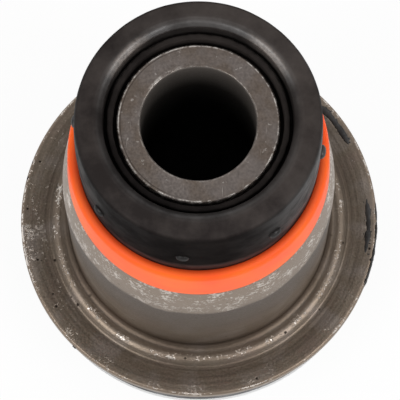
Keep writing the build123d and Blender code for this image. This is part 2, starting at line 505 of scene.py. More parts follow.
@dataclass(frozen=True)
class MouldedRubber(Finish):
    """Carbon-black natural rubber, moulded under pressure.

    Its gloss is all in the skin that the polished mould left, which is a coat here. That
    skin is dulled on the open face and in front, and still shines on the shoulder, at the
    sides of the flank and at its foot. The matt body under it is grey-black with bloom, and
    its colour also carries painted light, painted shade and a painted sheen.
    """

    label: str = "moulded_black_rubber"
    matt: str = "#282423"
    bloom: str = "#47413e"
    # Near-black of the painted shade in the well and on the flank.
    painted_shade_black: str = "#0b0a0a"
    # Pale grey of the painted sheen on the shoulder.
    rubbed: str = "#857b74"
    grain: float = 0.4
    cloud: float = 5.0
    # Painted light: the collar's far side, at the back and right, is painted toward the lighter bloom
    # colour.
    painted_light_side: tuple[float, float, float] = (0.5, 0.6, 0)
    # Painted shade by radius: dark in the well and down the flank.
    painted_shade_zones: Stops = (
        (11.0, 0.55), (12.6, 0.55), (12.9, 0.7), (13.6, 0.4), (14.3, 0.0), (16.6, 0.0),
        (17.0, 0.75), (18.0, 0.75),
    )
    # Painted sheen: two places on the shoulder, at the back left and right, are painted pale grey.
    painted_sheen_back: Stops = ((0.0, 0.0), (0.42, 0.0), (0.58, 1.0), (0.78, 1.0), (0.88, 0.0), (1.0, 0.0))
    painted_sheen_ledge: Stops = (
        (12.8, 0.0), (13.0, 0.0), (13.25, 1.0), (13.8, 1.0), (14.3, 0.0), (15.0, 0.0),
    )
    # Skin by radius: whole on the shoulder, almost gone on the face.
    skin: Stops = (
        (12.0, 0.0), (12.7, 0.1), (12.95, 1.0), (13.9, 1.0), (14.6, 0.1), (15.0, 0.05),
        (16.4, 0.05), (16.8, 0.0), (17.35, 0.0), (17.5, 0.35), (20.0, 0.35),
    )
    # The flank is rubbed dull in front and still glossy at the sides.
    gloss_side: Stops = (
        (-1.0, 0.4), (-0.7, 0.09), (-0.3, 0.02), (0.2, 0.0), (0.5, 0.1), (0.88, 0.5), (1.0, 0.6),
    )
    gloss_foot: Stops = ((55.0, 0.5), (57.2, 0.4), (59.5, 0.0), (61.0, 0.0))
    flank: Stops = ((16.0, 0.0), (16.6, 0.0), (17.0, 1.0), (18.0, 1.0))
    # Handling has dulled the shoulder's skin most on the near side and at the sides.
    handled_back: Stops = (
        (-1.0, 0.5), (-0.4, 0.35), (0.0, 0.12), (0.3, 0.4), (0.55, 1.0), (1.0, 1.0),
    )
    off_shoulder: Stops = ((15.0, 0.0), (16.6, 1.0), (18.0, 1.0))
    roughness: Stops = (
        (11.0, 0.5), (12.7, 0.5), (13.0, 0.28), (13.9, 0.28), (14.6, 0.72), (16.4, 0.72),
        (16.8, 0.6), (17.0, 0.22), (17.6, 0.22), (19.0, 0.5), (28.0, 0.55),
    )
    rough_foot: Stops = ((55.0, 0.16), (60.0, 0.16), (63.0, 0.0))

    def paint(self, at: TurnedSpace) -> dict:
        """Colour, roughness and bump of the rubber.

        Args:
            at: coordinates of the moulding.

        Returns:
            What feeds the shader's sockets.
        """
        put = partial(add, at.tree)
        clouding = {"Vector": at.point, "Scale": per_mm(self.cloud), "Detail": 6.0}
        clouds = put(NOISE, {**clouding, "Roughness": 0.65})
        grain = put(NOISE, {"Vector": at.point, "Scale": per_mm(self.grain), "Detail": 2.0})
        # The far side's painted light is added to the random bloom.
        far = put(VECTOR, {0: at.around, 1: self.painted_light_side}, operation="DOT_PRODUCT").outputs["Value"]
        bloom_and_painted_light = put(MATH, {0: far, 1: 0.2, 2: clouds}, operation="MULTIPLY_ADD")
        colour = put(RAMP, {"Fac": bloom_and_painted_light}, stops=[(0.3, self.matt), (0.85, self.bloom)])
        outward = put("ShaderNodeSeparateXYZ", {0: at.around})
        back, sideways = outward.outputs["Y"], outward.outputs["X"]
        painted_sheen = at.zone(back, self.painted_sheen_back)
        torn = {"Value": grain, "From Min": 0.35, "From Max": 0.65, "To Min": 0.35, "To Max": 0.75}
        for share in (at.zone(at.radius, self.painted_sheen_ledge), put(RANGE, torn)):
            painted_sheen = put(MATH, {0: painted_sheen, 1: share}, operation="MULTIPLY")
        # Painted shade darkens the well and the flank, and the painted sheen greys the shoulder.
        for share, coat in ((at.zone(at.radius, self.painted_shade_zones), self.painted_shade_black), (painted_sheen, self.rubbed)):
            colour = put(MIX, {"Factor": share, "A": colour, "B": linear(coat)}, data_type="RGBA")
        sides, foot = at.zone(sideways, self.gloss_side), at.zone(at.height, self.gloss_foot)
        gloss = put(MATH, {0: sides, 1: foot}, operation="MAXIMUM")
        gloss = put(MATH, {0: gloss, 1: at.zone(at.radius, self.flank)}, operation="MULTIPLY")
        skin = put(MATH, {0: at.zone(at.radius, self.skin), 1: gloss}, operation="ADD")
        mottled = {"Value": clouds, "From Min": 0.35, "From Max": 0.6, "To Min": 0.35, "To Max": 1.0}
        handled, off = at.zone(back, self.handled_back), at.zone(at.radius, self.off_shoulder)
        kept = put(MATH, {0: handled, 1: off}, operation="MAXIMUM")
        for share in (put(RANGE, mottled), kept):
            skin = put(MATH, {0: skin, 1: share}, operation="MULTIPLY")
        rough = at.zone(at.radius, self.roughness)
        uneven = {"Value": clouds, "From Min": 0.3, "From Max": 0.7, "To Min": -0.07, "To Max": 0.07}
        for change in (put(RANGE, uneven), at.zone(at.height, self.rough_foot)):
            rough = put(MATH, {0: rough, 1: change}, operation="ADD")
        bump = put("ShaderNodeBump", {"Height": grain, "Strength": 0.12, "Distance": 0.04 * MM})
        return {
            "Base Color": colour,
            "IOR": 1.5,
            "Specular IOR Level": 0.0,
            "Roughness": rough,
            "Coat Weight": skin,
            "Coat Roughness": 0.4,
            "Coat IOR": 1.8,
            "Normal": bump,
        }


@dataclass(frozen=True)
class MouldedPolyamide(Finish):
    """Orange polyamide, injection-moulded.

    It is bright and evenly coloured with a satin skin, and a little light passes into it.
    """

    label: str = "moulded_orange_polyamide"
    orange: str = "#ff6813"
    deep: str = "#fb5216"
    shaded: str = "#b53a10"
    cloud: float = 9.0
    line_spacing: float = 0.35
    # The collar shades the ring's inner edge, by radius.
    inner_edge: Stops = ((17.0, 1.0), (17.35, 0.9), (17.8, 0.3), (18.3, 0.0), (18.4, 0.0))

    def paint(self, at: TurnedSpace) -> dict:
        """Colour, roughness and bump of the ring.

        Args:
            at: coordinates of the ring.

        Returns:
            What feeds the shader's sockets.
        """
        put = partial(add, at.tree)
        clouds = put(NOISE, {"Vector": at.point, "Scale": per_mm(self.cloud), "Detail": 2.0})
        tone = put(RAMP, {"Fac": clouds}, stops=[(0.3, self.deep), (0.7, self.orange)])
        inner = at.zone(at.radius, self.inner_edge)
        colour = put(MIX, {"Factor": inner, "A": tone, "B": linear(self.shaded)}, data_type="RGBA")
        fine = at.lines(self.line_spacing, 2.5, at.height)
        bump = put("ShaderNodeBump", {"Height": fine, "Strength": 0.12, "Distance": 0.03 * MM})
        return {
            "Base Color": colour,
            "IOR": 1.46,
            "Specular IOR Level": 0.3,
            "Roughness": 0.5,
            "Subsurface Weight": 0.12,
            "Subsurface Radius": (1.0, 0.35, 0.12),
            "Subsurface Scale": 0.6 * MM,
            "Normal": bump,
        }


def arc_through(start: Point, middle: Point, end: Point, steps: int) -> list[Point]:
    """Points on the circle arc through three points.

    Args:
        start: first point.
        middle: a point on the arc.
        end: last point.
        steps: number of chords.

    Returns:
        The arc's points, ends included.
    """
    (ax, ay), (bx, by), (cx, cy) = start, middle, end
    d = 2 * (ax * (by - cy) + bx * (cy - ay) + cx * (ay - by))
    a2, b2, c2 = ax * ax + ay * ay, bx * bx + by * by, cx * cx + cy * cy
    ux = (a2 * (by - cy) + b2 * (cy - ay) + c2 * (ay - by)) / d
    uy = (a2 * (cx - bx) + b2 * (ax - cx) + c2 * (bx - ax)) / d
    first, mid, last = (math.atan2(y - uy, x - ux) for x, y in (start, middle, end))
    sweep = (last - first) % math.tau
    if (mid - first) % math.tau > sweep:
        sweep -= math.tau
    radius = math.hypot(ax - ux, ay - uy)
    turns = [first + sweep * k / steps for k in range(steps + 1)]
    return [(ux + radius * math.cos(t), uy + radius * math.sin(t)) for t in turns]


def rounded(corners: Sequence[tuple[float, float, float]], steps: int) -> list[Point]:
    """Round each corner of a closed outline by its own radius.

    Args:
        corners: radius, height and rounding of each corner, in mm.
        steps: chords on each rounding.

    Returns:
        The closed outline's points.
    """
    made: list[Point] = []
    for index, (x, y, radius) in enumerate(corners):
        here = Vector((x, y))
        if radius <= 0:
            made.append((x, y))
            continue
        before = Vector(corners[index - 1][:2]) - here
        after = Vector(corners[(index + 1) % len(corners)][:2]) - here
        half = before.angle(after) / 2
        # A rounding takes at most about half of the run on each side.
        reach = min(radius / math.tan(half), 0.49 * before.length, 0.49 * after.length)
        radius = reach * math.tan(half)
        start = here + before.normalized() * reach
        end = here + after.normalized() * reach
        inward = (before.normalized() + after.normalized()).normalized()
        middle = here + inward * (radius / math.sin(half) - radius)
        made += arc_through(tuple(start), tuple(middle), tuple(end), steps)
    return made


def divided(outline: Sequence[Point], longest: float) -> list[Point]:
    """Divide an outline's long runs, so that its mesh can carry small shapes.

    Args:
        outline: closed outline.
        longest: longest chord that may stay, in mm.

    Returns:
        The outline with more points.
    """
    made: list[Point] = []
    for (ax, ay), (bx, by) in zip(outline, list(outline[1:]) + [outline[0]]):
        parts = max(1, math.ceil(math.hypot(bx - ax, by - ay) / longest))
        made += [(ax + (bx - ax) * k / parts, ay + (by - ay) * k / parts) for k in range(parts)]
    return made


def seat(piece: bpy.types.Object, node: Node, material: bpy.types.Material) -> None:
    """Dress a piece and tie it to the frame.

    Args:
        piece: finished mesh object.
        node: CAD node that it stands for.
        material: its finish.
    """
    piece.data.materials.clear()
    piece.data.materials.append(material)
    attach(piece, BODY)
    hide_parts(node.value)
    triangles = sum(len(face.vertices) - 2 for face in piece.data.polygons)
    log.info("%s: %d triangles", piece.name, triangles)


@dataclass
class Skin:
    """Points of a turned mesh: angles in radians, radii and heights in mm."""

    angle: np.ndarray
    r: np.ndarray
    z: np.ndarray

    def rough(self, size: float, seed: int, rise: float = 1.0) -> np.ndarray:
        """Smooth noise from -1 to 1.

        Args:
            size: feature size in mm.
            seed: shifts the pattern.
            rise: share of the height that counts, less for marks drawn out upwards.

        Returns:
            One value for each point.
        """
        places = [self.r * np.cos(self.angle), self.r * np.sin(self.angle), self.z * rise]
        flat = np.stack([place.ravel() for place in places], axis=1) / size + seed * SEED_SHIFT
        return np.array([noise.noise(row) for row in flat.tolist()]).reshape(self.r.shape)


@dataclass
class TurnedPiece:
    """A piece whose closed section is turned about the tube's axis."""

    segments: int = 360
    sharp_from: float = 38.0

    def section(self) -> list[Point]:
        """Radii and heights of the section in mm; each piece has its own."""
        raise NotImplementedError

    def uneven(self, skin: Skin) -> Changes:
        """Small changes of radius and height in mm; each piece has its own."""
        raise NotImplementedError

    def turned(self, name: str) -> bpy.types.Object:
        """Turn the section into a mesh with outward faces.

        Args:
            name: piece name.

        Returns:
            The object, at the origin.
        """
        r, z = np.array(self.section()).T
        if np.sum(r * np.roll(z, -1) - np.roll(r, -1) * z) < 0:
            r, z = r[::-1], z[::-1]
        turns, count = self.segments, len(r)
        angle = np.linspace(0, math.tau, turns, endpoint=False)[:, None] * np.ones((1, count))
        r, z = np.tile(r, (turns, 1)), np.tile(z, (turns, 1))
        more_r, more_z = self.uneven(Skin(angle, r, z))
        r, z = r + more_r, z + more_z
        places = np.stack([r * np.cos(angle), r * np.sin(angle), z], axis=-1).reshape(-1, 3) * MM
        i, j = (g.ravel() for g in np.mgrid[0:turns, 0:count])
        i2, j2 = (i + 1) % turns, (j + 1) % count
        quads = np.stack([i * count + j, i2 * count + j, i2 * count + j2, i * count + j2], axis=1)
        mesh = bpy.data.meshes.new(name)
        mesh.from_pydata(places.tolist(), [], quads.tolist())
        mesh.shade_smooth()
        mesh.set_sharp_from_angle(angle=math.radians(self.sharp_from))
        return put_in_scene(name, mesh)


@dataclass
class OuterSleeve(TurnedPiece):
    """Deep-drawn sleeve with its flange, groove, bead, wall and lead-in."""

    wall_r: float = 20.0
    sheet: float = 2.0
    wall_top: float = 38.0
    end_z: float = 47.0
    end_r: float = 18.95
    flange_r: float = 27.6
    flange_bottom: float = 10.0
    flange_top: float = 12.0
    chamfer: float = 0.3
    ridge_r: float = 26.2
    edge_drop: float = 0.1
    groove_out: Point = (25.2, 12.0)
    groove_low: Point = (23.75, 11.92)
    bead_side: Point = (23.15, 12.0)
    bead_r: float = 21.6
    bead_top: float = 12.97
    bead_round: float = 1.45
    bead_slopes: Point = (-7.0, 50.0)
    bead_steps: int = 14
    foot_r: float = 21.0
    foot_round: float = 1.7
    lead_bulge: float = 0.24
    under_bend: float = 2.8
    wave_size: float = 7.0
    wall_wave: float = 0.03
    flange_wave: float = 0.05
    dent_size: float = 1.6
    lead_dent: float = 0.05
    flange_dent: float = 0.02
    segments: int = 400
    chord: float = 0.9
    finish: Finish = field(default_factory=DrawnSteel)

    def section(self) -> list[Point]:
        """Closed section of the sheet.

        Returns:
            Points of radius and height in mm.
        """
        low, edge, inner = self.flange_bottom, self.flange_r, self.wall_r - self.sheet
        edge_top = self.flange_top - self.edge_drop
        bend_out, bend_up = (inner + self.under_bend, low), (inner, low + self.under_bend)
        bend_mid = inner + self.under_bend * (1 - math.sqrt(0.5))
        bend = arc_through(bend_up, (bend_mid, low + bend_mid - inner), bend_out, steps=8)
        inner_slope, outer_slope = self.bead_slopes
        rim = [
            (*bend_out, 0),
            (edge - self.chamfer, low, 0.1),
            (edge, low + self.chamfer, 0.1),
            (edge, edge_top - self.chamfer, 0.1),
            (edge - self.chamfer, edge_top, 0.25),
            (self.ridge_r, self.flange_top, 2.0),
            (*self.groove_out, 4.0),
            (*self.groove_low, 1.2),
            (*self.bead_side, 0.6),
            (*self.on_bead(outer_slope), 0),
        ]
        turn = (inner_slope - outer_slope) / self.bead_steps
        roll = [self.on_bead(outer_slope + turn * k) for k in range(1, self.bead_steps + 1)]
        # The wall's foot is a hollow arc that runs into the bead.
        foot_z = roll[-1][1] - (roll[-1][0] - self.foot_r) * math.tan(math.radians(-inner_slope))
        rise = self.foot_round * 0.8
        hollow = (self.wall_r + (self.foot_r - self.wall_r) * 0.3, foot_z + rise * 0.26)
        foot = arc_through((self.foot_r, foot_z), hollow, (self.wall_r, foot_z + rise), steps=8)
        bulge = ((self.wall_r + self.end_r) / 2 + self.lead_bulge, (self.wall_top + self.end_z) / 2)
        lead = arc_through((self.wall_r, self.wall_top), bulge, (self.end_r, self.end_z), steps=14)
        back = [(self.end_r - self.sheet, self.end_z), (inner, self.wall_top)]
        outline = rounded(rim, steps=5) + roll + foot + lead + back + bend[:-1]
        return divided(outline, self.chord)

    def on_bead(self, slope: float) -> Point:
        """Point of the bead's roll.

        Args:
            slope: its slope in degrees, positive on the bead's outer side.

        Returns:
            Radius and height in mm.
        """
        turn = math.radians(slope)
        drop = self.bead_round * (1 - math.cos(turn))
        return (self.bead_r + self.bead_round * math.sin(turn), self.bead_top - drop)

    def uneven(self, skin: Skin) -> Changes:
        """Slight waves of the pressed sheet, and small dents where the lead-in starts.

        Args:
            skin: points of the mesh.

        Returns:
            Changes of radius and height in mm.
        """
        r, z = skin.r, skin.z
        wave, dent = skin.rough(self.wave_size, 1), skin.rough(self.dent_size, 2)
        outside = (z > self.flange_bottom + 1.5) & (r > self.wall_r - self.sheet + 0.5)
        wall_from = self.flange_top + 2
        lead = np.exp(-(((z - self.wall_top) / 1.6) ** 2)) * (r > self.wall_r - 1)
        off_edge = np.clip((self.flange_r - 0.3 - r) / 1.5, 0, 1)
        on_wall = self.wall_wave * wave + self.lead_dent * dent * lead
        on_flange = (self.flange_wave * wave + self.flange_dent * dent) * off_edge
        dr = np.where(outside & (z > wall_from), on_wall, 0)
        dz = np.where(outside & (z < wall_from), on_flange, 0)
        # The wall only gives inwards, so it stays inside the CAD's radius.
        return dr - np.abs(dr), dz

    def build(self) -> None:
        """Make the sleeve and tie it to its node."""
        seat(self.turned("drawn_sleeve"), Node.SLEEVE, self.finish.make())


@dataclass
class InnerTube(TurnedPiece):
    """Thick-walled tube for the bolt."""

    bore_r: float = 8.0
    outer_r: float = 11.25
    low_z: float = 1.5
    top_z: float = 71.5
    outer_chamfer: float = 0.18
    bore_chamfer: float = 0.14
    chip_size: float = 1.1
    burr_size: float = 0.45
    chip_depth: float = 0.05
    mouth_chip: float = 0.06
    chip_drop: float = 0.03
    burr: float = 0.02
    mouth_burr: float = 0.015
    chord: float = 1.2
    finish: Finish = field(default_factory=FacedTubeSteel)

    def section(self) -> list[Point]:
        """Closed section of the tube wall.

        Returns:
            Points of radius and height in mm.
        """
        out, bore = self.outer_chamfer, self.bore_chamfer
        corners = [
            (self.bore_r + bore, self.low_z, 0.05),
            (self.outer_r - out, self.low_z, 0.05),
            (self.outer_r, self.low_z + out, 0.05),
            (self.outer_r, self.top_z - out, 0.06),
            (self.outer_r - out, self.top_z, 0.05),
            (self.bore_r + bore, self.top_z, 0.05),
            (self.bore_r, self.top_z - bore, 0.1),
            (self.bore_r, self.low_z + bore, 0.05),
        ]
        return divided(rounded(corners, steps=3), self.chord)

    def uneven(self, skin: Skin) -> Changes:
        """Chips and burrs along the upper edges.

        Args:
            skin: points of the mesh.

        Returns:
            Changes of radius and height in mm.
        """
        r, z = skin.r, skin.z
        chip = np.clip(skin.rough(self.chip_size, 5, 0.0), 0, 1)
        burr = skin.rough(self.burr_size, 6, 0.0)
        outer = (z > self.top_z - 0.6) & (r > self.outer_r - 0.6)
        mouth = (z > self.top_z - 0.5) & (r < self.bore_r + 0.5)
        dr = np.where(outer, -self.chip_depth * chip + self.burr * burr - self.burr, 0)
        dr = np.where(mouth, self.mouth_chip * chip + self.mouth_burr * burr, dr)
        return dr, np.where(outer | mouth, -self.chip_drop * chip, 0)

    def build(self) -> None:
        """Make the tube and tie it to its node."""
        seat(self.turned("bolt_tube"), Node.TUBE, self.finish.make())


@dataclass
class RubberMoulding(TurnedPiece):
    """The rubber between the steel pieces: cushion, neck, collar, nubs and flash."""

    tube_r: float = 11.25
    wall_inner_r: float = 18.0
    wall_top: float = 38.0
    end_z: float = 47.0
    end_inner_r: float = 16.95
    neck_r: float = 17.1
    ring_top: float = 55.4
    bulge: float = 0.16
    bulge_z: float = 64.2
    face_r: float = 17.0
    face_low: float = 73.5
    collar_top: float = 74.5
    shoulder_r: float = 13.95
    shoulder_round: float = 2.0
    brink_r: float = 13.15
    brink_z: float = 73.75
    well_r: float = 13.0
    well_z: float = 70.9
    lip_in: float = 11.75
    lip_out: float = 12.6
    lip_top: float = 72.3
    slit_z: float = 69.6
    flange_low: float = 10.0
    under_bend: float = 2.8
    cushion_top_r: float = 27.1
    cushion_low_r: float = 26.3
    cushion_round: float = 1.5
    relief_r: float = 13.75
    relief_z: float = 4.0
    # The collar's skin lies this much inside and below its section, so that its waves stay
    # in the CAD's box.
    inset: float = 0.02
    sunk: float = 0.17
    soft_size: float = 6.0
    soft_wave: float = 0.04
    small_size: float = 1.4
    small_wave: float = 0.012
    torn_size: float = 0.8
    # How far the lip is torn, outwards and upwards.
    lip_wave: Point = (0.05, 0.06)
    lip_torn: Point = (0.07, 0.1)
    chord: float = 1.0
    finish: Finish = field(default_factory=MouldedRubber)

    def section(self) -> list[Point]:
        """Closed section of the moulding.

        Returns:
            Points of radius and height in mm.
        """
        inner, low = self.wall_inner_r, self.flange_low
        bend_mid = inner + self.under_bend * (1 - math.sqrt(0.5))
        bend_out, bend_up = (inner + self.under_bend, low), (inner, low + self.under_bend)
        bend = arc_through(bend_out, (bend_mid, low + bend_mid - inner), bend_up, steps=8)
        cushion = [
            (self.tube_r, self.relief_z, 0),
            (self.relief_r, 0, 0.2),
            (self.cushion_low_r, 0, self.cushion_round),
            (self.cushion_top_r, low, 0),
            (*bend[0], 0),
        ]
        bulge = (self.neck_r + self.bulge, self.bulge_z)
        face = (self.face_r, self.face_low)
        flank = arc_through((self.neck_r, self.ring_top), bulge, face, steps=12)
        collar = [
            (*flank[-2], 0),
            (*face, 0.8),
            (self.shoulder_r, self.collar_top, self.shoulder_round),
            (self.brink_r, self.brink_z, 0.35),
            (self.well_r, self.well_z, 0.3),
            (self.lip_out, self.well_z, 0.2),
            (self.lip_out, self.lip_top, 0.32),
            (self.lip_in, self.lip_top, 0.32),
            (self.lip_in, self.slit_z, 0.1),
            (self.tube_r, self.slit_z, 0),
        ]
        neck = [(inner, self.wall_top), (self.end_inner_r, self.end_z), (self.neck_r, self.end_z)]
        below, above = rounded(cushion, steps=8), rounded(collar, steps=7)
        return divided(below[:-1] + bend + neck + flank[:-2] + above, self.chord)

    def uneven(self, skin: Skin) -> Changes:
        """Soft unevenness of the moulding above the ring, and the lip's torn edge.

        Args:
            skin: points of the mesh.

        Returns:
            Changes of radius and height in mm.
        """
        soft, small = skin.rough(self.soft_size, 8), skin.rough(self.small_size, 9)
        torn = skin.rough(self.torn_size, 10, 0.3)
        collar = np.clip((skin.z - self.ring_top - 2) / 4, 0, 1)
        lip = (skin.z > self.slit_z + 1) & (skin.r < self.lip_out + 0.1)
        dr = collar * (self.soft_wave * soft + self.small_wave * small) - self.inset * collar
        dz = collar * (self.soft_wave * soft - self.sunk)
        on_lip = [w * small + t * torn for w, t in zip(self.lip_wave, self.lip_torn)]
        return np.where(lip, on_lip[0], dr), np.where(lip, on_lip[1] - self.lip_wave[1], dz)

    def build(self) -> None:
        """Make the moulding, its nubs and its flash, and tie them to the node."""
        material = self.finish.make()
        pieces = (self.turned("rubber_moulding"), CollarNubs().grow(material), RubberFlash().grow(material))
        for piece in pieces:
            seat(piece, Node.RUBBER, material)


@dataclass
class GrownShape:
    """A Geometry Nodes tree that makes one mesh from named sizes."""

    name: str
    tree: Any = None
    inputs: Any = None
    values: dict = field(default_factory=dict)

    def __post_init__(self) -> None:
        """Start the tree with its output and its group input."""
        self.tree = bpy.data.node_groups.new(self.name, "GeometryNodeTree")
        made = {"name": "Geometry", "in_out": "OUTPUT", "socket_type": "NodeSocketGeometry"}
        self.tree.interface.new_socket(**made)
        self.inputs = self.tree.nodes.new("NodeGroupInput")

    def size(self, name: str, value: Any) -> bpy.types.NodeSocket:
        """Add a named input, whole for a count or a seed.

        Args:
            name: the input's name.
            value: what the modifier sets it to.

        Returns:
            The socket inside the tree.
        """
        kind = "NodeSocketInt" if isinstance(value, int) else "NodeSocketFloat"
        socket = self.tree.interface.new_socket(name=name, in_out="INPUT", socket_type=kind)
        self.values[socket.identifier] = value
        return pick(self.inputs.outputs, name)

    def grow(self, shape: bpy.types.Node, material: bpy.types.Material) -> bpy.types.Mesh:
        """Close the tree, evaluate it and keep the result as a plain mesh.

        Args:
            shape: node that gives the geometry.
            material: finish for the whole mesh.

        Returns:
            The mesh.
        """
        real = add(self.tree, "GeometryNodeRealizeInstances", {0: shape})
        smooth = add(self.tree, "GeometryNodeSetShadeSmooth", {"Geometry": real})
        coat = {"Geometry": smooth, "Material": material}
        dressed = add(self.tree, "GeometryNodeSetMaterial", coat)
        add(self.tree, "NodeGroupOutput", {0: dressed})
        carrier = put_in_scene(self.name, bpy.data.meshes.new(self.name))
        modifier = carrier.modifiers.new(self.name, "NODES")
        modifier.node_group = self.tree
        for identifier, value in self.values.items():
            modifier[identifier] = value
        depsgraph = bpy.context.evaluated_depsgraph_get()
        mesh = bpy.data.meshes.new_from_object(carrier.evaluated_get(depsgraph))
        carrier.modifiers.remove(modifier)
        bpy.data.objects.remove(carrier)
        return mesh


@dataclass
class StopRing:
    """Orange ring round the neck, swept from its section by Geometry Nodes."""

    foot_z: float = 47.0
    height: float = 8.4
    foot_r: float = 18.95
    crest_r: float = 18.6
    inner_r: float = 17.12
    edge_round: float = 0.15
    crest_round: float = 1.1
    segments: int = 360
    sharp_from: float = 50.0
    finish: Finish = field(default_factory=MouldedPolyamide)

    def build(self) -> None:
        """Make the ring and tie it to its node."""
        material = self.finish.make()
        shape = GrownShape("plastic_stop_ring")
        put = partial(add, shape.tree)
        foot_r = shape.size("Foot radius", self.foot_r * MM)
        crest_r = shape.size("Crest radius", self.crest_r * MM)
        inner_r = shape.size("Inner radius", self.inner_r * MM)
        foot_z = shape.size("Foot height", self.foot_z * MM)
        height = shape.size("Height", self.height * MM)
        edge = shape.size("Edge rounding", self.edge_round * MM)
        crest_edge = shape.size("Crest rounding", self.crest_round * MM)
        count = shape.size("Segments", self.segments)
        path = put("GeometryNodeCurvePrimitiveCircle", {"Resolution": count, "Radius": inner_r})
        # A section swept round the circle has its X outward and its Y downward.
        foot = put(MATH, {0: foot_r, 1: inner_r}, operation="SUBTRACT")
        crest = put(MATH, {0: crest_r, 1: inner_r}, operation="SUBTRACT")
        up = put(MATH, {0: height, 1: -1.0}, operation="MULTIPLY")
        foot_out, crest_in = put(COMBINE, {"X": foot}), put(COMBINE, {"Y": up})
        crest_out = put(COMBINE, {"X": crest, "Y": up})
        corners = {7: (0, 0, 0), 8: crest_in, 9: crest_out, 10: foot_out}
        section = put("GeometryNodeCurvePrimitiveQuadrilateral", corners, mode="POINTS")
        # The third corner is the crest's outer one, with a larger rounding than the rest.
        which = {2: put("GeometryNodeInputIndex"), 3: 2}
        outer = put("FunctionNodeCompare", which, data_type="INT", operation="EQUAL")
        choice = {"Switch": outer, "False": edge, "True": crest_edge}
        rounding = put("GeometryNodeSwitch", choice, input_type="FLOAT")
        fillet = {"Curve": section, "Count": 6, "Radius": rounding, "Limit Radius": True}
        soft = put("GeometryNodeFilletCurve", fillet, mode="POLY")
        swept = put("GeometryNodeCurveToMesh", {"Curve": path, "Profile Curve": soft})
        raised = put(MOVE, {"Geometry": swept, "Offset": put(COMBINE, {"Z": foot_z})})
        piece = put_in_scene("stop_ring_moulding", shape.grow(raised, material))
        piece.data.set_sharp_from_angle(angle=math.radians(self.sharp_from))
        seat(piece, Node.RING, material)


@dataclass
class CollarNubs:
    """Eight moulded nubs round the collar, set out by Geometry Nodes."""

    count: int = 8
    first: float = -7.5
    centre_z: float = 64.2
    face_r: float = 18.0
    depth: float = 1.7
    width: float = 2.4
    height: float = 2.2
    crease: float = 0.12
    smallest: float = 0.94
    seed: int = 3

    def grow(self, material: bpy.types.Material) -> bpy.types.Object:
        """Make the nubs.

        Args:
            material: rubber finish.

        Returns:
            One object with all the nubs.
        """
        shape = GrownShape("collar_nubs")
        put = partial(add, shape.tree)
        count = shape.size("Count", self.count)
        first = shape.size("First angle", math.radians(self.first))
        face_r = shape.size("Outer radius", self.face_r * MM)
        centre_z = shape.size("Height above seat", self.centre_z * MM)
        depth = shape.size("Depth", self.depth * MM)
        width = shape.size("Width", self.width * MM)
        height = shape.size("Height", self.height * MM)
        crease = shape.size("Crease", self.crease)
        seed = shape.size("Seed", self.seed)
        block = put("GeometryNodeMeshCube", {0: put(COMBINE, {"X": depth, "Y": width, "Z": height})})
        rounding = {"Mesh": block, "Level": 3, "Edge Crease": crease}
        nub = put("GeometryNodeSubdivisionSurface", rounding)
        middle = put(MATH, {0: depth, 1: -0.5, 2: face_r}, operation="MULTIPLY_ADD")
        circle = put("GeometryNodeMeshCircle", {"Vertices": count, "Radius": middle})
        spin, lift = put(COMBINE, {"Z": first}), put(COMBINE, {"Z": centre_z})
        placed = {"Geometry": circle, "Rotation": spin, "Translation": lift}
        spots = put("GeometryNodeTransform", placed)
        here = put("ShaderNodeSeparateXYZ", {0: put("GeometryNodeInputPosition")})
        facing = put(MATH, {0: here.outputs["Y"], 1: here.outputs["X"]}, operation="ARCTAN2")
        turn = put(COMBINE, {"Z": facing})
        swell = put("FunctionNodeRandomValue", {"Min": self.smallest, "Max": 1.0, "Seed": seed})
        set_out = {"Points": spots, "Instance": nub, "Rotation": turn, "Scale": swell}
        nubs = put("GeometryNodeInstanceOnPoints", set_out)
        return put_in_scene("collar_nubs", shape.grow(nubs, material))


@dataclass(frozen=True)
class Smear:
    """One strip of rubber flash that lies along the flange.

    Angles run clockwise from +X, seen from above, in degrees. Sizes are in mm.
    """

    start: float
    sweep: float
    radius: float
    height: float
    width: float
    thickness: float
    ragged: float
    crumbs: int
    seed: int


